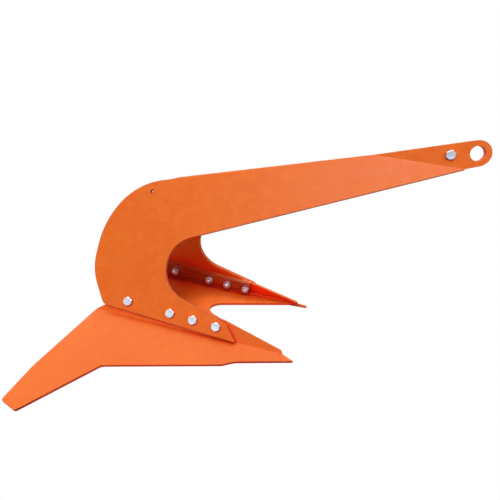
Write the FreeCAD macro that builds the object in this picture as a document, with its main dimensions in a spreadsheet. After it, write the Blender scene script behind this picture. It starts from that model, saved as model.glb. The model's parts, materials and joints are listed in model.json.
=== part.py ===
"""Plow anchor with two leaning shank plates bolted to a folded, two-pronged fluke.

Frame: origin at the centre of the shackle eye, +X from the fluke towards the eye,
+Z up with the anchor standing on its two prong tips and two tail ends, and the
mirror plane of the anchor at Y = 0.  "Right" is the -Y half.  Pieces are built with
the bend and fold lines level and then tipped nose down by the rest pitch.
All lengths are millimetres and all angles are degrees.
"""
import FreeCAD, Part
import Sketcher
import math
import os

V = FreeCAD.Vector

# Driving dimensions.  "back" is measured from the eye towards the tail, "drop" is
# measured down a shank plate from its bend line, "out" down a wing from its fold.
DIMENSIONS = [
    # shank plates
    ("plate", 12.0),
    ("lean", 20.0),
    ("rest_pitch", 14.15),
    ("eye_bore", 36.0),
    ("eye_rim", 31.0),
    ("eye_rise", 40.0),
    ("bend_rear", 234.0),
    ("bend_front", 18.0),
    ("shoulder_back", 836.0),
    ("shoulder_drop", 182.0),
    ("spine_back", 895.5),
    ("spine_top_drop", 306.5),
    ("spine_low_drop", 429.0),
    ("heel_back", 842.0),
    ("heel_drop", 512.5),
    ("toe_root_back", 476.0),
    ("toe_root_drop", 530.0),
    ("toe_back", 508.5),
    ("toe_drop", 491.0),
    ("jaw_back", 698.0),
    ("jaw_low_drop", 436.0),
    ("jaw_high_drop", 317.5),
    ("shoulder_radius", 183.0),
    ("spine_radius", 225.0),
    ("haunch_radius", 150.0),
    ("heel_radius", 18.0),
    ("jaw_radius", 84.0),
    ("toe_radius", 6.0),
    ("trip_bore", 12.0),
    ("trip_back", 781.5),
    ("trip_drop", 195.0),
    # bolt pattern
    ("bolt_bore", 15.5),
    ("bolt_rear_back", 774.5),
    ("bolt_front_back", 656.5),
    ("bolt_pitch", 62.0),
    ("bolt_rear_drop", 491.5),
    ("bolt_row_fall", 0.0487),
    ("tab_bolt_back", 60.0),
    ("tab_bolt_rise", 27.0),
    # fluke wings
    ("wing", 8.0),
    ("fold_drop", 531.0),
    ("fold_angle", 40.0),
    ("fold_rear", 863.0),
    ("fold_front", 357.0),
    ("flange_rear", 835.0),
    ("flange_step", 22.0),
    ("flange_rear_height", 69.0),
    ("flange_knee", 517.0),
    ("flange_knee_height", 48.0),
    ("flange_nose", 362.0),
    ("flange_nose_height", 8.0),
    ("tip_back", 328.0),
    ("tip_out", 12.5),
    ("ground_back", 464.0),
    ("ground_out", 52.5),
    ("edge_back", 492.0),
    ("edge_out", 68.5),
    ("root_back", 768.0),
    ("root_out", 148.5),
    ("tail_low_back", 894.5),
    ("tail_low_out", 300.0),
    ("tail_end_back", 938.0),
    ("tail_end_out", 287.0),
    ("tail_hip_back", 922.0),
    ("tail_hip_out", 194.5),
    ("edge_radius", 25.0),
    ("root_radius", 30.0),
    ("tail_radius", 7.0),
    ("hip_radius", 200.0),
    # backing bars under the nuts
    ("backing", 8.0),
    ("backing_rear", 810.0),
    ("backing_front", 519.0),
    ("backing_rear_height", 67.0),
    ("backing_front_height", 47.7),
    ("backing_foot", 15.0),
    # fluke blade
    ("blade", 8.0),
    ("blade_rear", 828.0),
    ("blade_gap", 0.2),
    ("blade_lift", 3.0),
    ("notch_apex", 650.0),
    ("notch_nose", 375.0),
    ("notch_radius", 58.0),
    ("notch_grind", 1.0),
    # welds
    ("bead", 6.5),
    ("bead_crown", 1.2),
    ("bead_rear", 820.0),
    ("bead_front", 400.0),
    # fasteners
    ("thread", 14.0),
    ("hex_flats", 21.0),
    ("head", 8.8),
    ("crown_angle", 30.0),
    ("crown_ratio", 0.96),
    ("bolt_length", 45.0),
    ("tab_bolt_length", 40.0),
    ("bolt_point", 2.0),
    ("nut", 12.8),
    ("nut_bore", 14.3),
]

# Corner roundings of the two flat halves of each bent plate: vertex number, radius.
SHANK_CORNERS = [
    (2, "shoulder_radius"),
    (3, "spine_radius"),
    (4, "haunch_radius"),
    (5, "heel_radius"),
    (7, "toe_radius"),
    (8, "jaw_radius"),
    (9, "jaw_radius"),
]
WING_CORNERS = [
    (2, "hip_radius"),
    (3, "tail_radius"),
    (4, "tail_radius"),
    (5, "root_radius"),
    (6, "edge_radius"),
    (7, "edge_radius"),
]

RIGHT = -1
LEFT = 1
SIDES = ((RIGHT, "right"), (LEFT, "left"))
FRONT_BOLTS = 3
POINT_TOLERANCE = 0.05
CUTTER_OVERRUN = 1.0
STEEL_KG_PER_CUBIC_MM = 7.85e-6

doc = FreeCAD.newDocument("plow_anchor")
sheet = doc.addObject("Spreadsheet::Sheet", "Dims")
for row, (name, number) in enumerate(DIMENSIONS, start=1):
    sheet.set("A%d" % row, name.replace("_", " "))
    sheet.set("B%d" % row, str(number))
    sheet.setAlias("B%d" % row, name)
doc.recompute()

finished = []


def size(name):
    """Return one driving dimension as a plain number."""
    return float(getattr(sheet, name))


def bind(target, path, formula):
    """Bind a property or constraint to a formula written with sheet aliases."""
    target.setExpression(path, formula)


def new_body(label):
    body = doc.addObject("PartDesign::Body", label)
    body.Label = label
    return body


def origin_plane(body, role):
    for feature in body.Origin.OriginFeatures:
        if feature.Role == role:
            return feature
    raise RuntimeError("no origin feature " + role)


def new_sketch(body, role, name, turn=0.0):
    """Sketch on an origin plane, turned about the body's X axis by an angle."""
    sketch = body.newObject("Sketcher::SketchObject", name)
    sketch.AttachmentSupport = [(origin_plane(body, role), "")]
    sketch.MapMode = "FlatFace"
    if turn:
        rotation = FreeCAD.Rotation(V(1, 0, 0), turn)
        sketch.AttachmentOffset = FreeCAD.Placement(V(0, 0, 0), rotation)
    return sketch


def fix_point(sketch, geometry, end, formulas, label):
    """Hold one point of a sketch at a pair of formulas from the sketch origin."""
    point = sketch.getPoint(geometry, end)
    for axis, value, formula in (("X", point.x, formulas[0]), ("Y", point.y, formulas[1])):
        if formula == "0":
            line = -2 if axis == "X" else -1
            sketch.addConstraint(Sketcher.Constraint("PointOnObject", geometry, end, line))
            continue
        kind = "Distance" + axis
        index = sketch.addConstraint(
            Sketcher.Constraint(kind, -1, 1, geometry, end, value)
        )
        sketch.renameConstraint(index, label + axis)
        bind(sketch, "Constraints." + label + axis, formula)


def add_polygon(sketch, corners):
    """Closed polygon.  Each corner is (x, y, x formula, y formula)."""
    count = len(corners)
    for i in range(count):
        a = corners[i]
        b = corners[(i + 1) % count]
        sketch.addGeometry(Part.LineSegment(V(a[0], a[1], 0), V(b[0], b[1], 0)), False)
    for i in range(count):
        sketch.addConstraint(Sketcher.Constraint("Coincident", i, 2, (i + 1) % count, 1))
    for i in range(count):
        fix_point(sketch, i, 1, (corners[i][2], corners[i][3]), "p%d" % i)


def corner(back, across, across_sign):
    """Corner of an outline from two aliases; back runs along -X."""
    if across is None:
        return (-size(back), 0.0, "-Dims." + back, "0")
    y = across_sign * size(across)
    sign = "-" if across_sign < 0 else ""
    return (-size(back), y, "-Dims." + back, sign + "Dims." + across)


def add_circle(sketch, centre, diameter, label):
    """Circle whose centre is (x, y, x formula, y formula)."""
    radius = size(diameter) / 2.0
    index = sketch.addGeometry(Part.Circle(V(centre[0], centre[1], 0), V(0, 0, 1), radius), False)
    fix_point(sketch, index, 3, (centre[2], centre[3]), label)
    rule = sketch.addConstraint(Sketcher.Constraint("Diameter", index, 2.0 * radius))
    sketch.renameConstraint(rule, label + "D")
    bind(sketch, "Constraints." + label + "D", "Dims." + diameter)


def pad(body, sketch, name, formula, reverse):
    feature = body.newObject("PartDesign::Pad", name)
    feature.Profile = sketch
    feature.Type = 0
    feature.Reversed = reverse
    bind(feature, "Length", formula)
    body.Tip = feature
    doc.recompute()
    return feature


def cut_both_ways(body, sketch, name, formula):
    """Pocket that cuts to both sides of its sketch, and must remove material."""
    before = body.Shape.Volume
    feature = body.newObject("PartDesign::Pocket", name)
    feature.Profile = sketch
    feature.Type = 0
    if hasattr(feature, "SideType"):
        feature.SideType = "Symmetric"
    else:
        feature.Midplane = True
    bind(feature, "Length", formula)
    body.Tip = feature
    doc.recompute()
    if body.Shape.Volume >= before:
        raise RuntimeError(name + " removed nothing")
    return feature


def revolve(body, sketch, name, axis, formula, reverse):
    feature = body.newObject("PartDesign::Revolution", name)
    feature.Profile = sketch
    feature.ReferenceAxis = (sketch, [axis])
    feature.Reversed = reverse
    bind(feature, "Angle", formula)
    body.Tip = feature
    doc.recompute()
    return feature


def edges_through(shape, point, direction):
    """Names of straight edges on the line through a point along a direction."""
    names = []
    for number, edge in enumerate(shape.Edges, start=1):
        ends = [vertex.Point for vertex in edge.Vertexes]
        if len(ends) != 2:
            continue
        near = [(end - point).cross(direction).Length for end in ends]
        if max(near) < POINT_TOLERANCE:
            names.append("Edge%d" % number)
    return names


def round_edges(body, name, edge_names, radius):
    if not edge_names:
        raise RuntimeError(name + " found no edge")
    base = body.Tip
    feature = body.newObject("PartDesign::Fillet", name)
    feature.Base = (base, edge_names)
    bind(feature, "Radius", "Dims." + radius)
    body.Tip = feature
    doc.recompute()
    return feature


def round_corners(body, outline, corners, turn, prefix):
    """Round upright corners of a flat half that is turned about the X axis."""
    rotation = FreeCAD.Rotation(V(1, 0, 0), turn)
    normal = rotation.multVec(V(0, 1, 0))
    for vertex, radius in corners:
        point = rotation.multVec(V(outline[vertex][0], 0, outline[vertex][1]))
        names = edges_through(body.Shape, point, normal)
        round_edges(body, "%s_round_%d" % (prefix, vertex), names, radius)


def stand(piece, placement):
    """Place a piece, then tip it with the anchor nose down onto the four feet."""
    rest = FreeCAD.Placement(V(0, 0, 0), FreeCAD.Rotation(V(0, 1, 0), size("rest_pitch")))
    piece.Placement = rest.multiply(placement)


def finish(piece, placement):
    stand(piece, placement)
    finished.append(piece)


def bend_wedge(body, side, rear, front, thickness, angle):
    """Sector of the bend between the two flat halves of a bent plate."""
    sketch = new_sketch(body, "XY_Plane", body.Label + "_bend")
    near = 0.0
    far = -side * size(thickness)
    sign = "-" if side > 0 else ""
    corners = [
        (-size(rear), near, "-Dims." + rear, "0"),
        (-size(front), near, "-Dims." + front, "0"),
        (-size(front), far, "-Dims." + front, sign + "Dims." + thickness),
        (-size(rear), far, "-Dims." + rear, sign + "Dims." + thickness),
    ]
    add_polygon(sketch, corners)
    doc.recompute()
    revolve(body, sketch, body.Label + "_bend_sector", "H_Axis", "Dims." + angle, side < 0)


def bolt_positions():
    """Back and drop of the four flange bolts, with their formulas."""
    fall = "Dims.bolt_row_fall"
    rear = "Dims.bolt_rear_back"
    backs = [(size("bolt_rear_back"), rear)]
    for step in range(FRONT_BOLTS):
        back = size("bolt_front_back") - step * size("bolt_pitch")
        formula = "(Dims.bolt_front_back - %d * Dims.bolt_pitch)" % step
        backs.append((back, formula))
    places = []
    for back, formula in backs:
        drop = size("bolt_rear_drop") + (size("bolt_rear_back") - back) * size("bolt_row_fall")
        text = "(Dims.bolt_rear_drop + (%s - %s) * %s)" % (rear, formula, fall)
        places.append((back, drop, formula, text))
    return places


def shank_outline():
    """Outline of the leaning part of a shank plate, from the bend down."""
    names = [
        ("bend_front", None),
        ("bend_rear", None),
        ("shoulder_back", "shoulder_drop"),
        ("spine_back", "spine_top_drop"),
        ("spine_back", "spine_low_drop"),
        ("heel_back", "heel_drop"),
        ("toe_root_back", "toe_root_drop"),
        ("toe_back", "toe_drop"),
        ("jaw_back", "jaw_low_drop"),
        ("jaw_back", "jaw_high_drop"),
    ]
    return [corner(back, drop, -1) for back, drop in names]


def add_eye_outline(sketch):
    """Upright tab: two edges that run tangent into the round rim of the eye."""
    centre = V(0, size("eye_rise"), 0)
    rim = size("eye_rim")
    ends = []
    for back, turn in ((size("bend_rear"), 1), (size("bend_front"), -1)):
        foot = V(-back, 0, 0)
        span = centre - foot
        angle = math.atan2(span.y, span.x) + turn * math.asin(rim / span.Length)
        reach = math.sqrt(span.Length ** 2 - rim ** 2)
        touch = foot + V(math.cos(angle), math.sin(angle), 0) * reach
        ends.append((foot, touch))
    (rear, top), (front, low) = ends
    start = math.atan2(low.y - centre.y, low.x - centre.x)
    stop = math.atan2(top.y - centre.y, top.x - centre.x)
    rim_circle = Part.Circle(centre, V(0, 0, 1), rim)
    sketch.addGeometry(Part.LineSegment(rear, front), False)
    sketch.addGeometry(Part.LineSegment(front, low), False)
    sketch.addGeometry(Part.ArcOfCircle(rim_circle, start, stop), False)
    sketch.addGeometry(Part.LineSegment(top, rear), False)
    sketch.addConstraint(Sketcher.Constraint("Coincident", 0, 2, 1, 1))
    sketch.addConstraint(Sketcher.Constraint("Tangent", 1, 2, 2, 1))
    sketch.addConstraint(Sketcher.Constraint("Tangent", 2, 2, 3, 1))
    sketch.addConstraint(Sketcher.Constraint("Coincident", 3, 2, 0, 1))
    fix_point(sketch, 0, 1, ("-Dims.bend_rear", "0"), "rear")
    fix_point(sketch, 0, 2, ("-Dims.bend_front", "0"), "front")
    fix_point(sketch, 2, 3, ("0", "Dims.eye_rise"), "eye")
    rule = sketch.addConstraint(Sketcher.Constraint("Radius", 2, rim))
    sketch.renameConstraint(rule, "rim")
    bind(sketch, "Constraints.rim", "Dims.eye_rim")


def make_shank_plate(side, word):
    """J-shaped shank plate, bent so that its eye tab stands upright."""
    body = new_body("shank_plate_" + word)
    turn = side * size("lean")
    inward = side < 0

    lower = new_sketch(body, "XZ_Plane", body.Label + "_jaw", turn)
    outline = shank_outline()
    add_polygon(lower, outline)
    doc.recompute()
    pad(body, lower, body.Label + "_leaf", "Dims.plate", inward)
    round_corners(body, outline, SHANK_CORNERS, turn, body.Label)

    upper = new_sketch(body, "XZ_Plane", body.Label + "_tab")
    add_eye_outline(upper)
    doc.recompute()
    pad(body, upper, body.Label + "_tab_leaf", "Dims.plate", inward)
    bend_wedge(body, side, "bend_rear", "bend_front", "plate", "lean")

    eye = new_sketch(body, "XZ_Plane", body.Label + "_eye")
    add_circle(eye, (0.0, size("eye_rise"), "0", "Dims.eye_rise"), "eye_bore", "eye")
    bolt_centre = corner("tab_bolt_back", "tab_bolt_rise", 1)
    add_circle(eye, bolt_centre, "bolt_bore", "tab")
    doc.recompute()
    cut_both_ways(body, eye, body.Label + "_tab_bores", "4 * Dims.plate")

    holes = new_sketch(body, "XZ_Plane", body.Label + "_holes", turn)
    add_circle(holes, corner("trip_back", "trip_drop", -1), "trip_bore", "trip")
    for number, (back, drop, back_text, drop_text) in enumerate(bolt_positions(), start=1):
        centre = (-back, -drop, "-" + back_text, "-" + drop_text)
        add_circle(holes, centre, "bolt_bore", "bolt%d" % number)
    doc.recompute()
    cut_both_ways(body, holes, body.Label + "_leaf_bores", "4 * Dims.plate")

    finish(body, FreeCAD.Placement(hinge_point(side), FreeCAD.Rotation()))


def hinge_point(side):
    """Bend line of a shank plate, on its outer face, at the eye's X."""
    return V(0, side * size("plate"), -size("eye_rise"))


def down_plate(side):
    """Unit vector down the leaning part of a shank plate."""
    lean = math.radians(size("lean"))
    return V(0, side * math.sin(lean), -math.cos(lean))


def into_plate(side):
    """Unit vector from a shank plate's outer face towards its inner face."""
    lean = math.radians(size("lean"))
    return V(0, -side * math.cos(lean), -math.sin(lean))


def fold_point(side):
    """Fold of a wing, on the outer face of its flange, at the eye's X."""
    return (
        hinge_point(side)
        + down_plate(side) * size("fold_drop")
        + into_plate(side) * size("plate")
    )


def flange_outline():
    """Upright flange of a wing, above the fold."""
    names = [
        ("fold_front", None),
        ("flange_nose", "flange_nose_height"),
        ("flange_knee", "flange_knee_height"),
        ("flange_rear", "flange_rear_height"),
        ("flange_rear", "flange_step"),
        ("fold_rear", None),
    ]
    return [corner(back, height, 1) for back, height in names]


def wing_outline():
    """Sloping panel of a wing with its swept tail, below the fold."""
    names = [
        ("fold_front", None),
        ("fold_rear", None),
        ("tail_hip_back", "tail_hip_out"),
        ("tail_end_back", "tail_end_out"),
        ("tail_low_back", "tail_low_out"),
        ("root_back", "root_out"),
        ("edge_back", "edge_out"),
        ("ground_back", "ground_out"),
        ("tip_back", "tip_out"),
    ]
    return [corner(back, out, -1) for back, out in names]


def cut_flange_bores(body):
    """Bores of the four flange bolts, in a plate that stands on the fold line."""
    holes = new_sketch(body, "XZ_Plane", body.Label + "_holes")
    for number, (back, drop, back_text, drop_text) in enumerate(bolt_positions(), start=1):
        rise = size("fold_drop") - drop
        centre = (-back, rise, "-" + back_text, "Dims.fold_drop - " + drop_text)
        add_circle(holes, centre, "bolt_bore", "bolt%d" % number)
    doc.recompute()
    cut_both_ways(body, holes, body.Label + "_flange_bores", "4 * Dims.plate")


def make_wing(side, word):
    """Folded wing: bolted flange, sloping panel and swept tail in one plate."""
    body = new_body("fluke_wing_" + word)
    turn = side * size("fold_angle")
    inward = side < 0

    lower = new_sketch(body, "XZ_Plane", body.Label + "_panel", turn)
    outline = wing_outline()
    add_polygon(lower, outline)
    doc.recompute()
    pad(body, lower, body.Label + "_panel_leaf", "Dims.wing", inward)
    round_corners(body, outline, WING_CORNERS, turn, body.Label)

    upper = new_sketch(body, "XZ_Plane", body.Label + "_flange")
    add_polygon(upper, flange_outline())
    doc.recompute()
    pad(body, upper, body.Label + "_flange_leaf", "Dims.wing", inward)
    bend_wedge(body, side, "fold_rear", "fold_front", "wing", "fold_angle")

    cut_flange_bores(body)
    rotation = FreeCAD.Rotation(V(1, 0, 0), side * size("lean"))
    finish(body, FreeCAD.Placement(fold_point(side), rotation))
    return body


def make_backing_bar(side, word):
    """Flat bar inside the flange that spreads the load of the four nuts."""
    body = new_body("backing_bar_" + word)
    sketch = new_sketch(body, "XZ_Plane", body.Label + "_face")
    names = [
        ("backing_front", "backing_foot"),
        ("backing_front", "backing_front_height"),
        ("backing_rear", "backing_rear_height"),
        ("backing_rear", "backing_foot"),
    ]
    add_polygon(sketch, [corner(back, height, 1) for back, height in names])
    doc.recompute()
    pad(body, sketch, body.Label + "_leaf", "Dims.backing", side < 0)
    cut_flange_bores(body)
    rotation = FreeCAD.Rotation(V(1, 0, 0), side * size("lean"))
    seat = fold_point(side) + into_plate(side) * size("wing")
    finish(body, FreeCAD.Placement(seat, rotation))


def blade_edge_point(side):
    """Where the blade's top meets the inner face of a flange, just above the fold."""
    fold_inside = fold_point(side) + into_plate(side) * size("wing")
    rise = size("blade_lift") / math.cos(math.radians(size("lean")))
    return fold_inside - down_plate(side) * rise


HALF_WIDTH = (
    "(Dims.plate + Dims.fold_drop * sin(Dims.lean)"
    " - (Dims.plate + Dims.wing) * cos(Dims.lean)"
    " - Dims.blade_lift * tan(Dims.lean) - Dims.blade_gap)"
)


def make_blade():
    """Flat blade between the wings, with a V notch between its two prongs."""
    body = new_body("fluke_blade")
    sketch = new_sketch(body, "XY_Plane", "fluke_blade_plan")
    half = blade_edge_point(LEFT).y - size("blade_gap")
    rear = -size("blade_rear")
    nose = -size("notch_nose")
    corners = [
        (rear, half, "-Dims.blade_rear", HALF_WIDTH),
        (rear, -half, "-Dims.blade_rear", "-" + HALF_WIDTH),
        (nose, -half, "-Dims.notch_nose", "-" + HALF_WIDTH),
        (-size("notch_apex"), 0.0, "-Dims.notch_apex", "0"),
        (nose, half, "-Dims.notch_nose", HALF_WIDTH),
    ]
    add_polygon(sketch, corners)
    doc.recompute()
    pad(body, sketch, "fluke_blade_leaf", "Dims.blade", True)
    apex = edges_through(body.Shape, V(-size("notch_apex"), 0, 0), V(0, 0, 1))
    round_edges(body, "fluke_blade_notch", apex, "notch_radius")
    grind_notch(body)
    finish(body, FreeCAD.Placement(V(0, 0, blade_edge_point(LEFT).z), FreeCAD.Rotation()))
    return body


def grind_notch(body):
    """Bevel ground under the rounded root and both edges of the notch."""
    names = []
    limit = size("blade") - POINT_TOLERANCE
    for number, edge in enumerate(body.Shape.Edges, start=1):
        box = edge.BoundBox
        inside = abs(box.Center.y) < size("notch_apex") and box.XMin > -size("notch_apex")
        if box.ZMax < -limit and inside and box.XLength > 1.0:
            if box.YLength > 1.0:
                names.append("Edge%d" % number)
    if not names:
        raise RuntimeError("no notch edge to grind")
    base = body.Tip
    feature = body.newObject("PartDesign::Chamfer", "fluke_blade_grind")
    feature.Base = (base, names)
    bind(feature, "Size", "Dims.notch_grind")
    body.Tip = feature
    doc.recompute()


def make_top_bead(side, word):
    """Fillet weld with a crowned face between blade and flange."""
    body = new_body("blade_weld_" + word)
    sketch = new_sketch(body, "YZ_Plane", body.Label + "_section")
    lean = math.radians(size("lean"))
    leg = size("bead")
    along_blade = V(-side * leg, 0, 0)
    up_flange = V(-side * math.sin(lean) * leg, math.cos(lean) * leg, 0)
    middle = (along_blade + up_flange) * 0.5
    out = V(-side * math.cos(lean / 2.0), math.sin(lean / 2.0), 0)
    crown = middle + out * size("bead_crown")
    sketch.addGeometry(Part.LineSegment(V(0, 0, 0), along_blade), False)
    face = Part.Arc(along_blade, crown, up_flange)
    sketch.addGeometry(face, False)
    sketch.addGeometry(Part.LineSegment(up_flange, V(0, 0, 0)), False)
    blade_end, flange_end = (1, 2)
    start = sketch.getPoint(1, 1)
    if (start - along_blade).Length > POINT_TOLERANCE:
        blade_end, flange_end = (2, 1)
    sketch.addConstraint(Sketcher.Constraint("Coincident", 0, 2, 1, blade_end))
    sketch.addConstraint(Sketcher.Constraint("Coincident", 1, flange_end, 2, 1))
    sketch.addConstraint(Sketcher.Constraint("Coincident", 2, 2, 0, 1))
    sketch.addConstraint(Sketcher.Constraint("Coincident", 0, 1, -1, 1))
    sign = "-" if side > 0 else ""
    fix_point(sketch, 0, 2, (sign + "Dims.bead", "0"), "toe")
    slope = (sign + "Dims.bead * sin(Dims.lean)", "Dims.bead * cos(Dims.lean)")
    fix_point(sketch, 2, 1, slope, "top")
    arc = sketch.Geometry[1]
    rule = sketch.addConstraint(Sketcher.Constraint("Radius", 1, arc.Radius))
    sketch.renameConstraint(rule, "face")
    doc.recompute()
    pad(body, sketch, body.Label + "_run", "Dims.bead_rear - Dims.bead_front", True)
    edge = blade_edge_point(side)
    finish(body, FreeCAD.Placement(V(-size("bead_front"), edge.y, edge.z), FreeCAD.Rotation()))


def make_under_bead(side, word, blade, wing):
    """Round bead in the corner under the blade, against the fold and the wing panel."""
    label = "under_weld_" + word
    rod = doc.addObject("Part::Cylinder", label + "_rod")
    bind(rod, "Radius", "Dims.bead")
    bind(rod, "Height", "Dims.bead_rear - Dims.bead_front")
    edge = blade_edge_point(side)
    centre = V(-size("bead_front"), edge.y, edge.z - size("blade"))
    stand(rod, FreeCAD.Placement(centre, FreeCAD.Rotation(V(0, 0, 1), V(-1, 0, 0))))
    clear_of_blade = doc.addObject("Part::Cut", label + "_clear")
    clear_of_blade.Base = rod
    clear_of_blade.Tool = blade
    bead = doc.addObject("Part::Cut", label)
    bead.Label = label
    bead.Base = clear_of_blade
    bead.Tool = wing
    doc.recompute()
    finished.append(bead)


def hexagon(sketch, flats, label):
    """Hexagon about the sketch origin with two flats square to the X axis."""
    radius = size(flats) / math.sqrt(3.0)
    corners = []
    for i in range(6):
        angle = math.radians(30.0 + 60.0 * i)
        x_text = "Dims.%s / sqrt(3) * cos(%d)" % (flats, 30 + 60 * i)
        y_text = "Dims.%s / sqrt(3) * sin(%d)" % (flats, 30 + 60 * i)
        corners.append((radius * math.cos(angle), radius * math.sin(angle), x_text, y_text))
    add_polygon(sketch, corners)
    return radius


def crown_hex(body, radius, height, prefix):
    """Turn the corners of the far end of a hexagonal block to a shallow cone."""
    start = size("hex_flats") / 2.0 * size("crown_ratio")
    reach = radius + CUTTER_OVERRUN
    fall = (reach - start) * math.tan(math.radians(size("crown_angle")))
    level = size(height)
    start_text = "Dims.hex_flats / 2 * Dims.crown_ratio"
    reach_text = "(Dims.hex_flats / sqrt(3) + %g)" % CUTTER_OVERRUN
    level_text = "Dims." + height
    fall_text = "(%s - %s) * tan(Dims.crown_angle)" % (reach_text, start_text)
    over_text = "%s + %g" % (level_text, CUTTER_OVERRUN)
    sketch = new_sketch(body, "XZ_Plane", prefix + "_cone")
    corners = [
        (start, level, start_text, level_text),
        (reach, level - fall, reach_text, level_text + " - " + fall_text),
        (reach, level + CUTTER_OVERRUN, reach_text, over_text),
        (start, level + CUTTER_OVERRUN, start_text, over_text),
    ]
    add_polygon(sketch, corners)
    doc.recompute()
    before = body.Shape.Volume
    groove = body.newObject("PartDesign::Groove", prefix + "_turned")
    groove.Profile = sketch
    groove.ReferenceAxis = (sketch, ["V_Axis"])
    groove.Angle = 360.0
    body.Tip = groove
    doc.recompute()
    if body.Shape.Volume >= before:
        raise RuntimeError(prefix + " groove removed nothing")


def axis_placement(seat, direction):
    """Put a fastener's own +Z along a direction, with its seat at a point."""
    return FreeCAD.Placement(seat, FreeCAD.Rotation(V(0, 0, 1), direction))


def make_bolt(label, seat, inward, length):
    """Hex bolt: head outside the plate, shank pointing inward along -Z local."""
    body = new_body(label)
    hexed = new_sketch(body, "XY_Plane", label + "_hex")
    radius = hexagon(hexed, "hex_flats", "hex")
    doc.recompute()
    pad(body, hexed, label + "_head", "Dims.head", False)
    crown_hex(body, radius, "head", label)
    stem = new_sketch(body, "XY_Plane", label + "_stem")
    add_circle(stem, (0.0, 0.0, "0", "0"), "thread", "stem")
    doc.recompute()
    pad(body, stem, label + "_shank", "Dims." + length, True)
    names = []
    for number, edge in enumerate(body.Shape.Edges, start=1):
        if edge.BoundBox.ZMax < -size(length) + POINT_TOLERANCE:
            names.append("Edge%d" % number)
    shank = body.Tip
    point = body.newObject("PartDesign::Chamfer", label + "_point")
    point.Base = (shank, names)
    bind(point, "Size", "Dims.bolt_point")
    body.Tip = point
    doc.recompute()
    finish(body, axis_placement(seat, inward * -1.0))


def make_nut(label, seat, direction):
    """Hex nut standing on its seat, with its far end crowned."""
    body = new_body(label)
    sketch = new_sketch(body, "XY_Plane", label + "_hex")
    radius = hexagon(sketch, "hex_flats", "hex")
    doc.recompute()
    pad(body, sketch, label + "_block", "Dims.nut", False)
    crown_hex(body, radius, "nut", label + "_top")
    bore = new_sketch(body, "XY_Plane", label + "_bore")
    add_circle(bore, (0.0, 0.0, "0", "0"), "nut_bore", "bore")
    doc.recompute()
    cut_both_ways(body, bore, label + "_threaded", "4 * Dims.nut")
    finish(body, axis_placement(seat, direction))


def fasten(suffix, seat, inward, grip, length):
    """One bolt and its nut through a stack of plates."""
    make_bolt("bolt_" + suffix, seat, inward, length)
    make_nut("nut_" + suffix, seat + inward * grip, inward)


def check_and_write():
    """Stop on any failed feature or bad solid, then write one file per piece."""
    doc.recompute()
    for item in doc.Objects:
        for word in ("Invalid", "Error"):
            if word in item.State:
                raise RuntimeError(item.Label + " is " + word)
    os.makedirs("parts", exist_ok=True)
    for item in finished:
        shape = item.Shape
        if shape.isNull() or not shape.isValid() or len(shape.Solids) != 1:
            raise RuntimeError(item.Label + " has a bad shape")
        shape.exportStep("parts/%s.step" % item.Label)


wings = {}
for side, word in SIDES:
    make_shank_plate(side, word)
    wings[side] = make_wing(side, word)
fluke = make_blade()
for side, word in SIDES:
    make_backing_bar(side, word)
    make_top_bead(side, word)
    make_under_bead(side, word, fluke, wings[side])

flange_grip = size("plate") + size("wing") + size("backing")
for side, word in SIDES:
    for number, (back, drop, _, _) in enumerate(bolt_positions(), start=1):
        seat = hinge_point(side) + down_plate(side) * drop + V(-back, 0, 0)
        suffix = "%s_%d" % (word, number)
        fasten(suffix, seat, into_plate(side), flange_grip, "bolt_length")

tab_seat = V(-size("tab_bolt_back"), -size("plate"), size("tab_bolt_rise") - size("eye_rise"))
fasten("shank", tab_seat, V(0, 1, 0), 2.0 * size("plate"), "tab_bolt_length")

check_and_write()
total = sum(item.Shape.Volume for item in finished)
print("pieces", len(finished), "mass kg", round(total * STEEL_KG_PER_CUBIC_MM, 2))
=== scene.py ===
"""Looks for the plow anchor: painted plate, painted welds, bright zinc fasteners."""
import json
import math
import random

import bmesh
import bpy
from mathutils import Matrix, Vector


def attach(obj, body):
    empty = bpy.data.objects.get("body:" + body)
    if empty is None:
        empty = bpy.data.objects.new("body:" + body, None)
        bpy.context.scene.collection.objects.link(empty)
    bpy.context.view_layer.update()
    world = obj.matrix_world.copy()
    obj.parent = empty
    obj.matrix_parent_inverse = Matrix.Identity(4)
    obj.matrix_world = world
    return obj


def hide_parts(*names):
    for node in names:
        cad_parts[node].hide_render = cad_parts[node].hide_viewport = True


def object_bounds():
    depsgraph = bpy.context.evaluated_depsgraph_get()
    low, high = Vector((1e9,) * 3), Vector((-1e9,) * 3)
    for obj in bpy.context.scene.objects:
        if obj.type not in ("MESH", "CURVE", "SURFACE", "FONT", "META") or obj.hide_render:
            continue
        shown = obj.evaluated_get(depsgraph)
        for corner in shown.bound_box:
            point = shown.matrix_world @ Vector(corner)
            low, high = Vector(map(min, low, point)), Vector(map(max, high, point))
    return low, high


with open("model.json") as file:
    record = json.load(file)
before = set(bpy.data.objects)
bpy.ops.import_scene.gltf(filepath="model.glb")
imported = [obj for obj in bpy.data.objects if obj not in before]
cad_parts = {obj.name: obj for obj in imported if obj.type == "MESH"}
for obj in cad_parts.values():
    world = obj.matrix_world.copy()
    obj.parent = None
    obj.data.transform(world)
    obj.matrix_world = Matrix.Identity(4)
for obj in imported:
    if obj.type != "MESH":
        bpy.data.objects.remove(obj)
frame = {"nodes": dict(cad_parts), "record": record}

cad_low, cad_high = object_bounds()

MM = 0.001
WHITE = (1.0, 1.0, 1.0, 1.0)

# Attitude and plates, as the CAD model has them. Angles are in degrees.
REST_PITCH = 14.15
LEAN = 20.0
BLADE_GAP = 0.2 * MM
BLADE_THICKNESS = 8.0 * MM

# Small rounds on the edges of the CAD pieces.
PLATE_EDGE = 1.3 * MM
FASTENER_EDGE = 0.35 * MM
EDGE_SEGMENTS = 3
EDGE_ANGLE = 14.0
MERGE = 0.005 * MM

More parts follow.
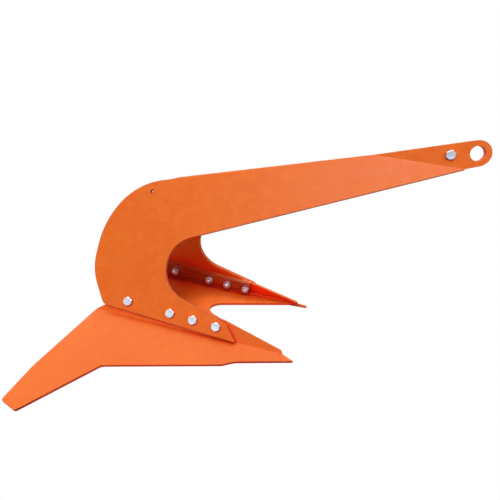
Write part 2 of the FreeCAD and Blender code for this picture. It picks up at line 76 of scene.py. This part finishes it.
# Weld beads: leg of the triangle, pitch of the swept rings, and the overlapping pools. A share or an
# exponent has no unit, and a rate is in radians a metre.
BEAD_LEG = 6.5 * MM
CROWN_SHARE = 0.93
END_TOLERANCE = 0.1 * MM
END_TAPER = 7.0 * MM
END_SWELL = 0.45
RING_PITCH = 0.8 * MM
RIPPLE_SPACING = 4.6 * MM
RIPPLE_HEIGHT = 1.1 * MM
RIPPLE_SINK = 0.75
RIPPLE_DRAG = 0.45
POOL_SKEW = 0.7
POOL_ROUND = 0.8
CROWN_ROUND = 0.6
SPACING_WANDER = 0.22
WIDTH_WANDER = 0.03
WIDTH_PACE = 0.6
WANDER_RATE = (35.0, 55.0)
TOP_SEED = 3.0
UNDER_SEED = 7.0
BEAD_CREASE = 50.0

# Hex bolts: head, washer face, shank and thread. The dish's radii are shares of the flat crown's.
HEAD = 8.8 * MM
HEAD_SEARCH = 0.98 * HEAD
HEX_FLATS = 21.0 * MM
HEX_ROUND = 0.25 * MM
CROWN_RATIO = 0.96
CROWN_ANGLE = 30.0
DISH = 0.2 * MM
DISH_CENTRE = 0.10
DISH_FLOOR = 0.62
DISH_RIM = 0.80
WASHER_FACE = 0.5 * MM
WASHER_FACE_RADIUS = HEX_FLATS * 0.465
WASHER_FACE_TOP = HEX_FLATS * 0.47
THREAD = 14.0 * MM
THREAD_PITCH = 2.0 * MM
THREAD_DEPTH = 1.2 * MM
THREAD_FLANK = 0.42
THREAD_STEP = 0.36 * MM
THREADED = 30.0 * MM
BOLT_POINT = 2.0 * MM
POINT_SLOPE = 0.8
BOLT_SIDES = 48
BOLT_LENGTH = 45.0 * MM
TAB_BOLT_LENGTH = 40.0 * MM
BOLT_CREASE = 24.0

# Paint: display colours of each finish, 0-255, the last of them a deep red painted as shade between
# the plates, and its specular level.
PAINTS = {
    "paint_orange": {
        "base": (238, 112, 30), "dark": (234, 104, 24), "light": (244, 123, 45),
        "shade_red": (250, 26, 2), "gloss": 0.30,
    },
    "weld_paint": {
        "base": (216, 78, 18), "dark": (198, 62, 14), "light": (230, 94, 30),
        "shade_red": (236, 34, 4), "gloss": 0.12,
    },
    # Backing bars: a darker, duller brown than the plates; what makes the real bars this dark is not
    # known.
    "primer_brown": {
        "base": (168, 68, 26), "dark": (152, 56, 20), "light": (184, 80, 34),
        "shade_red": (178, 58, 20), "gloss": 0.30,
    },
}
# Pale orange on the edges: painted highlight, with some wear.
EDGE_WEAR_AND_HIGHLIGHT = (252, 158, 98)
# Dark red painted as shade into narrow corners.
CORNER_SHADE_RED = (182, 32, 4)
EDGE_WEAR_AND_HIGHLIGHT_REACH = 1.6 * MM
PAINT_ROUND = 1.2 * MM
# Reaches of the painted shade: between the plates, and in narrow corners.
SHADE_REACH = 180 * MM
CORNER_SHADE_REACH = 30 * MM
PEEL_DEPTH = 0.35 * MM
ROLLED_DEPTH = 2.5 * MM

# Zinc: display colours, among them the dark brown painted as shade in its corners, the reach of that
# painted shade and the depth of its scratches.
ZINC_BLUE = (206, 220, 238)
ZINC_PALE = (228, 232, 236)
ZINC_CORNER_SHADE = (70, 52, 46)
ZINC_SHADE_REACH = 6 * MM
ZINC_ROUND = 0.5 * MM
SCRATCH_DEPTH = 0.2 * MM

# Patterns, in features a metre.
BROAD_TONES = 5.5
PAINT_PATCHES = 38.0
PAINT_STREAKS = 22.0
STREAK_STRETCH = (1.0, 1.0, 14.0)
STREAK_TURN = (0.35, 0.0, 0.6)
PAINT_GRAIN = 420.0
ORANGE_PEEL = 150.0
ROLLED_WAVES = 9.0
ZINC_CLOUDS = 90.0
ZINC_SCRATCHES = 900.0
FLOOR_CLOUDS = 1.5

# Studio: floor tones, sky brightness and camera.
FLOOR_HALF = 30.0
FLOOR_DROP = 0.2 * MM
FLOOR_DARK = (166, 162, 158)
FLOOR_LIGHT = (178, 174, 170)
FLOOR_MIRRORED = 0.35
SKY_HORIZON = 0.50
SKY_ZENITH = 0.02
MIRRORED_LOW = 0.80
MIRRORED_HIGH = 8.0
WARM_LIGHT = (1.0, 0.66, 0.50)
CAMERA_PLACE = (-0.3050, -1.150, 0.0400)
CAMERA_FORWARD = (-0.2271, 0.9510, -0.2098)
CAMERA_UP = (0.0411, 0.2246, 0.9737)
FILM_WIDTH = 36.0
FOCAL_LENGTH = 30.96

# Colour sockets of a Mix node that is set to RGBA.
MIX_FIRST = 6
MIX_SECOND = 7
MIX_RESULT = 2


def srgb(red, green, blue):
    """Linear colour from 0-255 display values."""
    out = []
    for value in (red, green, blue):
        v = value / 255.0
        out.append(v / 12.92 if v <= 0.04045 else ((v + 0.055) / 1.055) ** 2.4)
    return (out[0], out[1], out[2], 1.0)


class Nodes:
    """Small helper that builds one node tree, of a material or of the world."""

    def __init__(self, owner):
        owner.use_nodes = True
        self.tree = owner.node_tree
        self.tree.nodes.clear()
        self.coordinates = self.add("ShaderNodeTexCoord")
        self.place = self.coordinates.outputs["Object"]

    def add(self, kind, **settings):
        node = self.tree.nodes.new(kind)
        for key, value in settings.items():
            setattr(node, key, value)
        return node

    def link(self, source, target):
        self.tree.links.new(source, target)

    def put(self, target, value):
        """Feed an input with a socket or a constant."""
        if isinstance(value, bpy.types.NodeSocket):
            self.link(value, target)
        else:
            target.default_value = value

    def scaled(self, scale, rotation):
        node = self.add("ShaderNodeMapping")
        self.link(self.place, node.inputs["Vector"])
        node.inputs["Scale"].default_value = scale
        node.inputs["Rotation"].default_value = rotation
        return node.outputs["Vector"]

    def noise(self, scale, detail, rough=0.5, vector=None, distortion=0.0):
        """Fractal noise with this many features a metre."""
        node = self.add("ShaderNodeTexNoise")
        self.link(vector or self.place, node.inputs["Vector"])
        node.inputs["Scale"].default_value = scale
        node.inputs["Detail"].default_value = detail
        node.inputs["Roughness"].default_value = rough
        node.inputs["Distortion"].default_value = distortion
        return node.outputs["Fac"]

    def ramp(self, value, low, high, bottom=0.0, top=1.0):
        """Straight ramp from bottom at low to top at high, level outside them."""
        node = self.add("ShaderNodeMapRange", clamp=True)
        self.put(node.inputs["Value"], value)
        node.inputs["From Min"].default_value = low
        node.inputs["From Max"].default_value = high
        node.inputs["To Min"].default_value = bottom
        node.inputs["To Max"].default_value = top
        return node.outputs["Result"]

    def math(self, operation, first, second=0.0):
        node = self.add("ShaderNodeMath", operation=operation)
        self.put(node.inputs[0], first)
        self.put(node.inputs[1], second)
        return node.outputs[0]

    def choose(self, factor, first, second):
        """Number between first, at factor 0, and second, at factor 1."""
        node = self.add("ShaderNodeMix")
        self.put(node.inputs["Factor"], factor)
        self.put(node.inputs["A"], first)
        self.put(node.inputs["B"], second)
        return node.outputs["Result"]

    def mix(self, factor, first, second):
        """Colour between first, at factor 0, and second, at factor 1."""
        node = self.add("ShaderNodeMix", data_type="RGBA")
        self.put(node.inputs["Factor"], factor)
        self.put(node.inputs[MIX_FIRST], first)
        self.put(node.inputs[MIX_SECOND], second)
        return node.outputs[MIX_RESULT]

    def bump(self, height, strength, distance, normal):
        node = self.add("ShaderNodeBump")
        self.put(node.inputs["Height"], height)
        node.inputs["Strength"].default_value = strength
        node.inputs["Distance"].default_value = distance
        self.link(normal, node.inputs["Normal"])
        return node.outputs["Normal"]

    def rounded(self, radius):
        """Normal that rounds every edge over by this radius."""
        node = self.add("ShaderNodeBevel", samples=4)
        node.inputs["Radius"].default_value = radius
        return node.outputs["Normal"]

    def crevice(self, distance):
        """1 where nothing stands within this distance, towards 0 where much does."""
        node = self.add("ShaderNodeAmbientOcclusion", samples=6)
        node.inputs["Distance"].default_value = distance
        return node.outputs["AO"]

    def arris(self, radius):
        """1 on sharp edges, 0 on flats, from how far the rounded normal turns."""
        geometry = self.add("ShaderNodeNewGeometry")
        dot = self.add("ShaderNodeVectorMath", operation="DOT_PRODUCT")
        self.link(self.rounded(radius), dot.inputs[0])
        self.link(geometry.outputs["Normal"], dot.inputs[1])
        return self.ramp(dot.outputs["Value"], 0.97, 0.80)

    def turned_in(self):
        """1 on faces that look towards the mirror plane from either side, 0 on the others."""
        place = self.add("ShaderNodeSeparateXYZ")
        self.link(self.place, place.inputs[0])
        facing = self.add("ShaderNodeSeparateXYZ")
        self.link(self.add("ShaderNodeNewGeometry").outputs["Normal"], facing.inputs[0])
        side = self.math("SIGN", place.outputs["Y"])
        outward = self.math("MULTIPLY", side, facing.outputs["Y"])
        return self.ramp(outward, -0.15, -0.75)


class Surface(Nodes):
    """Node tree of one new material, with its output and main shader."""

    def __init__(self, name):
        self.material = bpy.data.materials.new(name)
        super().__init__(self.material)
        self.output = self.add("ShaderNodeOutputMaterial")
        self.shader = self.add("ShaderNodeBsdfPrincipled")
        self.link(self.shader.outputs["BSDF"], self.output.inputs["Surface"])

    def set(self, name, value):
        """Feed one input of the main shader."""
        self.put(self.shader.inputs[name], value)


def sprayed_tone(n, patch, base, dark, light):
    """Paint colour with broad tones, small patches and faint streaks."""
    broad = n.noise(BROAD_TONES, detail=3.0, rough=0.55)
    tone = n.mix(n.ramp(broad, 0.32, 0.68), srgb(*dark), srgb(*base))
    tone = n.mix(n.ramp(patch, 0.46, 0.74, 0.0, 0.70), tone, srgb(*light))
    along_streaks = n.scaled(STREAK_STRETCH, STREAK_TURN)
    streak = n.noise(PAINT_STREAKS, detail=4.0, rough=0.6, vector=along_streaks)
    return n.mix(n.ramp(streak, 0.52, 0.72, 0.0, 0.40), tone, srgb(*light))


def edge_wear_and_highlight(n, patch, tone):
    """Paler paint along the edges, in patches: painted highlight where the edges catch the light, and
    some wear.
    """
    wear_and_highlight = n.math("MULTIPLY", n.arris(EDGE_WEAR_AND_HIGHLIGHT_REACH), n.ramp(patch, 0.35, 0.62, 0.15, 0.8))
    return n.mix(wear_and_highlight, tone, srgb(*EDGE_WEAR_AND_HIGHLIGHT))


def painted_shade_tint(n, tone, shade_red):
    """Painted shade: a deeper red between the plates and a dark red in narrow corners, for the shade
    there and the red light that paint bounces onto paint.
    """
    openness = n.crevice(SHADE_REACH)
    shade = n.ramp(openness, 0.20, 0.82, 0.95, 0.0)
    # Inward faces between the plates also get the painted shade where they are fairly open.
    inner_shade = n.math("MULTIPLY", n.turned_in(), n.ramp(openness, 0.50, 0.80, 1.0, 0.0))
    tone = n.mix(n.math("MAXIMUM", shade, inner_shade), tone, srgb(*shade_red))
    # Painted shade in narrow corners.
    corner = n.ramp(n.crevice(CORNER_SHADE_REACH), 0.38, 0.72, 0.90, 0.0)
    return n.mix(corner, tone, srgb(*CORNER_SHADE_RED))


def paint_relief(n, fine):
    """Orange peel over the slight waves of rolled plate, with the edges rounded."""
    peel = n.math("ADD", n.math("MULTIPLY", fine, 0.5), n.noise(ORANGE_PEEL, detail=2.0))
    normal = n.bump(peel, 0.18, PEEL_DEPTH, n.rounded(PAINT_ROUND))
    rolled = n.noise(ROLLED_WAVES, detail=2.0, rough=0.4)
    return n.bump(rolled, 0.25, ROLLED_DEPTH, normal)


def painted_steel(name, base, dark, light, shade_red, gloss):
    """Sprayed enamel over rolled plate."""
    n = Surface(name)
    patch = n.noise(PAINT_PATCHES, detail=5.0, rough=0.6, distortion=0.4)
    fine = n.noise(PAINT_GRAIN, detail=3.0, rough=0.55)
    tone = sprayed_tone(n, patch, base, dark, light)
    # Paler edges: painted highlight and some wear.
    tone = edge_wear_and_highlight(n, patch, tone)
    # Painted shade between the plates and in corners goes into the base colour.
    n.set("Base Color", painted_shade_tint(n, tone, shade_red))
    rough = n.ramp(patch, 0.3, 0.7, 0.36, 0.50)
    n.set("Roughness", n.math("ADD", rough, n.ramp(fine, 0.4, 0.7, 0.0, 0.05)))
    n.set("Specular IOR Level", gloss)
    n.set("Normal", paint_relief(n, fine))
    return n.material


def bright_zinc(name):
    """Zinc plating: bright, clouded between blue and pale, with painted shade in its corners, finely
    scratched.
    """
    n = Surface(name)
    cloud = n.noise(ZINC_CLOUDS, detail=4.0, rough=0.6)
    tone = n.mix(n.ramp(cloud, 0.35, 0.68), srgb(*ZINC_BLUE), srgb(*ZINC_PALE))
    # Painted shade: darker brown in the corners of the fasteners.
    zinc_corner_shade = n.ramp(n.crevice(ZINC_SHADE_REACH), 0.30, 0.8, 0.55, 0.0)
    n.set("Base Color", n.mix(zinc_corner_shade, tone, srgb(*ZINC_CORNER_SHADE)))
    n.set("Metallic", 0.80)
    n.set("Roughness", n.ramp(cloud, 0.3, 0.7, 0.28, 0.42))
    scratches = n.noise(ZINC_SCRATCHES, detail=3.0, rough=0.6)
    n.set("Normal", n.bump(scratches, 0.15, SCRATCH_DEPTH, n.rounded(ZINC_ROUND)))
    return n.material


def dress(node, material):
    """Give a CAD piece one finish and smooth shading."""
    node.data.materials.clear()
    node.data.materials.append(material)
    for polygon in node.data.polygons:
        polygon.material_index = 0
        polygon.use_smooth = True


def soften(node, width):
    """Break the sharp edges of a CAD piece with a small real round."""
    merge = node.modifiers.new("merge", "WELD")
    merge.merge_threshold = MERGE
    edge = node.modifiers.new("edge", "BEVEL")
    edge.width = width
    edge.segments = EDGE_SEGMENTS
    edge.limit_method = "ANGLE"
    edge.angle_limit = math.radians(EDGE_ANGLE)
    normals = node.modifiers.new("normals", "WEIGHTED_NORMAL")
    normals.weight = 100


def dress_nodes(finishes):
    """Finish every CAD piece by the material slot that the record gives it."""
    slots = {part["node"]: part["material_slot"] for part in frame["record"]["subparts"]}
    for name, node in frame["nodes"].items():
        dress(node, finishes[slots[name]])
        soften(node, FASTENER_EDGE if slots[name] == "zinc" else PLATE_EDGE)


def tipped(x, y, z):
    """A direction drawn with the fold lines level, turned into the resting attitude."""
    angle = math.radians(REST_PITCH)
    turned_x = x * math.cos(angle) + z * math.sin(angle)
    turned_z = z * math.cos(angle) - x * math.sin(angle)
    return Vector((turned_x, y, turned_z))


def node_points(name):
    """Separate vertex positions of a CAD node."""
    seen = {}
    for vertex in frame["nodes"][name].data.vertices:
        key = tuple(round(value / MERGE) for value in vertex.co)
        seen[key] = vertex.co.copy()
    return list(seen.values())


def tube_faces(rows, sides):
    """Faces of a closed tube whose vertices are listed ring by ring, with both ends capped."""
    faces = []
    for row in range(rows - 1):
        near = row * sides
        far = near + sides
        for k in range(sides):
            after = (k + 1) % sides
            faces.append((near + k, near + after, far + after, far + k))
    faces.append(tuple(range(sides)))
    last = (rows - 1) * sides
    faces.append(tuple(last + k for k in reversed(range(sides))))
    return faces


def build_piece(name, vertices, faces, material, replaced):
    """One finished mesh that stands in for a CAD node, in the finish of that material slot."""
    mesh = bpy.data.meshes.new(name)
    mesh.from_pydata(vertices, [], faces)
    mesh.validate()
    shape = bmesh.new()
    shape.from_mesh(mesh)
    bmesh.ops.recalc_face_normals(shape, faces=shape.faces)
    shape.to_mesh(mesh)
    shape.free()
    mesh.materials.append(material)
    for polygon in mesh.polygons:
        polygon.use_smooth = True
    piece = bpy.data.objects.new(name, mesh)
    bpy.context.scene.collection.objects.link(piece)
    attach(piece, "root")
    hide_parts(replaced)
    return piece


def sharpen(piece, degrees):
    """Keep hard edges crisp where the faces meet at more than this angle."""
    shape = bmesh.new()
    shape.from_mesh(piece.data)
    limit = math.radians(degrees)
    for edge in shape.edges:
        if len(edge.link_faces) == 2 and edge.calc_face_angle(0.0) > limit:
            edge.smooth = False
    shape.to_mesh(piece.data)
    shape.free()


def bead_section(name, along, across, rise):
    """Outline of a bead's rear end, as (across, rise) pairs in order round it, and its two ends."""
    points = node_points(name)
    rear = min(point.dot(along) for point in points)
    front = max(point.dot(along) for point in points)
    outline = []
    for point in points:
        if point.dot(along) < rear + END_TOLERANCE:
            outline.append((point.dot(across), point.dot(rise)))
    middle_out = sum(p[0] for p in outline) / len(outline)
    middle_up = sum(p[1] for p in outline) / len(outline)
    outline.sort(key=lambda p: math.atan2(p[1] - middle_up, p[0] - middle_out))
    return outline, rear, front


def unwrap(crown, turn):
    """Start the crown at its first toe, so that the widest angular gap is not inside it."""
    gaps = []
    for place, i in enumerate(crown):
        before = turn[crown[place - 1]]
        gaps.append(((turn[i] - before) % (2.0 * math.pi), place))
    start = max(gaps)[1]
    return crown[start:] + crown[:start]


def crown_weights(outline, root, side):
    """How much each outline point swells: 0 at the toes and the root, 1 at the middle of the crown."""
    reach = [math.hypot(p[0] - root[0], p[1] - root[1]) for p in outline]
    turn = [math.atan2(p[1] - root[1], p[0] - root[0]) for p in outline]
    crown = [i for i in range(len(outline)) if reach[i] > CROWN_SHARE * BEAD_LEG]
    first_turn = math.pi / 2.0 * (1.0 - side)
    crown.sort(key=lambda i: (turn[i] + first_turn) % (2.0 * math.pi))
    crown = unwrap(crown, turn)
    weights = [0.0] * len(outline)
    for place, i in enumerate(crown):
        weights[i] = math.sin(math.pi * place / (len(crown) - 1.0)) ** CROWN_ROUND
    return weights


def ripple(distance, lag, wander):
    """Height of the overlapping weld pools, from 0 in a groove to 1 on a crest."""
    phase = distance / RIPPLE_SPACING + lag + SPACING_WANDER * math.sin(distance * wander)
    share = phase - math.floor(phase)
    return math.sin(math.pi * share ** POOL_SKEW) ** POOL_ROUND


def make_bead(name, side, root, seed, material):
    """Rippled bead swept along the blade edge, standing for the plain CAD bead."""
    along = tipped(1.0, 0.0, 0.0)
    across = Vector((0.0, 1.0, 0.0))
    rise = tipped(0.0, 0.0, 1.0)
    outline, rear, front = bead_section(name, along, across, rise)
    weights = crown_weights(outline, root, side)
    wander = random.Random(seed).uniform(*WANDER_RATE)
    spans = int((front - rear) / RING_PITCH)
    vertices = []
    for step in range(spans + 1):
        travel = (front - rear) * step / spans
        end = min(travel, front - rear - travel) / END_TAPER
        swell = min(1.0, END_SWELL + (1.0 - END_SWELL) * math.sqrt(max(end, 0.0)))
        swell *= 1.0 + WIDTH_WANDER * math.sin(travel * wander * WIDTH_PACE + seed)
        for (out, up), weight in zip(outline, weights):
            lift = ripple(travel, RIPPLE_DRAG * (1.0 - weight), wander) - RIPPLE_SINK
            stretch = 1.0 + weight * (swell - 1.0) + weight * lift * RIPPLE_HEIGHT / BEAD_LEG
            local_out = root[0] + (out - root[0]) * stretch
            local_up = root[1] + (up - root[1]) * stretch
            vertices.append(along * (rear + travel) + across * local_out + rise * local_up)
    faces = tube_faces(spans + 1, len(outline))
    bead = build_piece("rippled_" + name, vertices, faces, material, name)
    sharpen(bead, BEAD_CREASE)


def make_beads(material):
    """The four beads along the two long edges of the blade, on its top and underneath."""
    blade_points = node_points("fluke_blade")
    rise = tipped(0.0, 0.0, 1.0)
    top = max(point.dot(rise) for point in blade_points)
    out = max(point.y for point in blade_points) + BLADE_GAP
    for side, word in ((-1.0, "right"), (1.0, "left")):
        over = (side * out, top)
        under = (side * out, top - BLADE_THICKNESS)
        make_bead("blade_weld_" + word, side, over, TOP_SEED + side, material)
        make_bead("under_weld_" + word, side, under, UNDER_SEED + side, material)


def hexagon_reach(angle):
    """Distance from the axis to the side of a hexagon that is one unit across its flats."""
    sixth = math.pi / 3.0
    return 0.5 / math.cos((angle + sixth / 2.0) % sixth - sixth / 2.0)


def head_profile(angle):
    """(radius, height above the seat) down the head at this angle, from its dish to the shank."""
    flat = HEX_FLATS / 2.0 * CROWN_RATIO
    slope = math.tan(math.radians(CROWN_ANGLE))
    side = HEX_FLATS * hexagon_reach(angle + math.pi / 6.0)

    def chamfer(radius):
        return -HEAD + max(0.0, radius - flat) * slope

    return [
        (flat * DISH_CENTRE, -HEAD + DISH),
        (flat * DISH_FLOOR, -HEAD + DISH),
        (flat * DISH_RIM, -HEAD),
        (flat, -HEAD),
        (side - HEX_ROUND, chamfer(side - HEX_ROUND)),
        (side, chamfer(side) + HEX_ROUND),
        (side, -WASHER_FACE - HEX_ROUND),
        (side - HEX_ROUND, -WASHER_FACE),
        (WASHER_FACE_TOP, -WASHER_FACE),
        (WASHER_FACE_RADIUS, 0.0),
        (THREAD / 2.0, 0.0),
    ]


def thread_radius(angle, height, start):
    """Screw thread: a V groove that winds one pitch each turn and fades in at its start."""
    phase = (height / THREAD_PITCH - angle / (2.0 * math.pi)) % 1.0
    groove = max(0.0, 1.0 - abs(phase - 0.5) / THREAD_FLANK)
    fade = min(1.0, max(0.0, (height - start) / THREAD_PITCH))
    return THREAD / 2.0 - THREAD_DEPTH * groove * fade


def thread_profile(angle, length):
    """(radius, height) along the thread at this angle, with the point tapered."""
    start = length - THREADED
    rows = int(THREADED / THREAD_STEP)
    profile = []
    for row in range(rows + 1):
        height = start + THREADED * row / rows
        taper = THREAD / 2.0 - max(0.0, height - (length - BOLT_POINT)) * POINT_SLOPE
        profile.append((min(taper, thread_radius(angle, height, start)), height))
    return profile


def bolt_axes(name, inward):
    """A CAD bolt's axis point, seat height, direction to a head corner, and the one square to it."""
    points = node_points(name)
    crown = min(point.dot(inward) for point in points)
    head_points = [p for p in points if p.dot(inward) < crown + HEAD_SEARCH]
    middle = sum(head_points, Vector()) / len(head_points)
    axis_point = middle - inward * middle.dot(inward)
    corner = max(head_points, key=lambda p: (p - axis_point - inward * p.dot(inward)).length)
    first = (corner - axis_point - inward * corner.dot(inward)).normalized()
    return axis_point, crown + HEAD, first, inward.cross(first)


def make_bolt(name, inward, length, material):
    """Hex-head bolt: dished chamfered head, washer face, plain neck and real thread."""
    axis_point, seat, first, second = bolt_axes(name, inward)
    angles = [2.0 * math.pi * k / BOLT_SIDES for k in range(BOLT_SIDES)]
    profiles = [head_profile(angle) + thread_profile(angle, length) for angle in angles]
    rows = len(profiles[0])
    vertices = []
    for row in range(rows):
        for angle, profile in zip(angles, profiles):
            radius, height = profile[row]
            spot = first * (radius * math.cos(angle)) + second * (radius * math.sin(angle))
            vertices.append(axis_point + spot + inward * (seat + height))
    faces = tube_faces(rows, BOLT_SIDES)
    bolt = build_piece("threaded_" + name, vertices, faces, material, name)
    sharpen(bolt, BOLT_CREASE)


def make_bolts(material):
    """Four bolts through each leaning flange, and one straight across behind the eye."""
    lean = math.radians(LEAN)
    for side, word in ((-1.0, "right"), (1.0, "left")):
        inward = tipped(0.0, -side * math.cos(lean), -math.sin(lean))
        for number in (1, 2, 3, 4):
            make_bolt(f"bolt_{word}_{number}", inward, BOLT_LENGTH, material)
    make_bolt("bolt_shank", Vector((0.0, 1.0, 0.0)), TAB_BOLT_LENGTH, material)


def pale_floor():
    """White to the camera, dimmer in reflections, and light grey to bounced light."""
    n = Surface("pale_floor")
    clouds = n.noise(FLOOR_CLOUDS, detail=2.0)
    tone = n.mix(n.ramp(clouds, 0.3, 0.7), srgb(*FLOOR_DARK), srgb(*FLOOR_LIGHT))
    n.set("Base Color", tone)
    n.set("Roughness", 0.95)
    n.set("Specular IOR Level", 0.0)
    path = n.add("ShaderNodeLightPath")
    camera_ray = path.outputs["Is Camera Ray"]
    glow = n.add("ShaderNodeEmission")
    glow.inputs["Color"].default_value = WHITE
    n.link(n.ramp(camera_ray, 0.0, 1.0, FLOOR_MIRRORED, 1.0), glow.inputs["Strength"])
    blend = n.add("ShaderNodeMixShader")
    n.link(n.math("MAXIMUM", camera_ray, path.outputs["Is Glossy Ray"]), blend.inputs[0])
    n.link(n.shader.outputs["BSDF"], blend.inputs[1])
    n.link(glow.outputs["Emission"], blend.inputs[2])
    n.link(blend.outputs["Shader"], n.output.inputs["Surface"])
    return n.material


def add_floor():
    """Wide flat floor just under the lowest points of the anchor."""
    level = cad_low.z - FLOOR_DROP
    near = -FLOOR_HALF
    far = FLOOR_HALF
    mesh = bpy.data.meshes.new("floor")
    corners = [(near, near, level), (far, near, level), (far, far, level), (near, far, level)]
    mesh.from_pydata(corners, [], [(0, 1, 2, 3)])
    mesh.materials.append(pale_floor())
    floor = bpy.data.objects.new("floor", mesh)
    bpy.context.scene.collection.objects.link(floor)


def add_world():
    """White to the camera. Bounced light meets a sky that is brightest low down, and reflections
    meet one that is brightest overhead."""
    world = bpy.data.worlds.new("studio")
    bpy.context.scene.world = world
    n = Nodes(world)
    split = n.add("ShaderNodeSeparateXYZ")
    n.link(n.coordinates.outputs["Generated"], split.inputs[0])
    climb = split.outputs["Z"]
    path = n.add("ShaderNodeLightPath")
    bounced = n.ramp(climb, -0.05, 0.95, SKY_HORIZON, SKY_ZENITH)
    mirrored = n.ramp(climb, 0.70, 1.0, MIRRORED_LOW, MIRRORED_HIGH)
    level = n.choose(path.outputs["Is Glossy Ray"], bounced, mirrored)
    level = n.choose(path.outputs["Is Camera Ray"], level, 1.0)
    background = n.add("ShaderNodeBackground")
    background.inputs["Color"].default_value = WHITE
    n.link(level, background.inputs["Strength"])
    output = n.add("ShaderNodeOutputWorld")
    n.link(background.outputs["Background"], output.inputs["Surface"])


def add_area(name, place, target, size, power):
    """Rectangular softbox at a place, facing a target, with its power in watts."""
    data = bpy.data.lights.new(name, "AREA")
    data.shape = "RECTANGLE"
    data.size, data.size_y = size
    data.energy = power
    lamp = bpy.data.objects.new(name, data)
    lamp.location = place
    lamp.rotation_mode = "QUATERNION"
    lamp.rotation_quaternion = (Vector(target) - Vector(place)).to_track_quat("-Z", "Y")
    bpy.context.scene.collection.objects.link(lamp)
    return lamp


def add_lamps():
    """Softboxes in front and behind, a low warm fill into the jaw, and a panel for sheen only."""
    middle = (cad_low + cad_high) / 2.0
    jaw = (-0.7, 0.05, -0.28)
    shank = (-0.2, -0.05, -0.05)
    key = add_area("key", (-0.60, -3.1, 1.85), middle, (1.6, 1.3), 79.0)
    fill = add_area("fill", (1.30, -0.95, 0.05), jaw, (0.8, 0.6), 4.6)
    fill.data.color = WARM_LIGHT
    back = add_area("back", (-0.7, 3.0, 2.2), middle, (1.6, 1.3), 100.0)
    for lamp in (key, fill, back):
        lamp.visible_glossy = False
    sheen = add_area("sheen", (0.9, -2.8, 2.0), shank, (2.0, 1.3), 68.0)
    sheen.visible_diffuse = False


def add_camera():
    """Low viewpoint abeam of the shank, turned towards the fluke."""
    data = bpy.data.cameras.new("camera")
    data.sensor_width = FILM_WIDTH
    data.lens = FOCAL_LENGTH
    camera = bpy.data.objects.new("camera", data)
    forward = Vector(CAMERA_FORWARD).normalized()
    right = forward.cross(Vector(CAMERA_UP)).normalized()
    up = right.cross(forward)
    turn = Matrix((right, up, -forward)).transposed()
    camera.matrix_world = Matrix.Translation(CAMERA_PLACE) @ turn.to_4x4()
    bpy.context.scene.collection.objects.link(camera)
    bpy.context.scene.camera = camera


finishes = {name: painted_steel(name, **paint) for name, paint in PAINTS.items()}
finishes["zinc"] = bright_zinc("zinc")
dress_nodes(finishes)
make_beads(finishes["weld_paint"])
make_bolts(finishes["zinc"])
add_floor()
add_lamps()
add_world()
add_camera()
bpy.context.scene.view_settings.view_transform = "Standard"
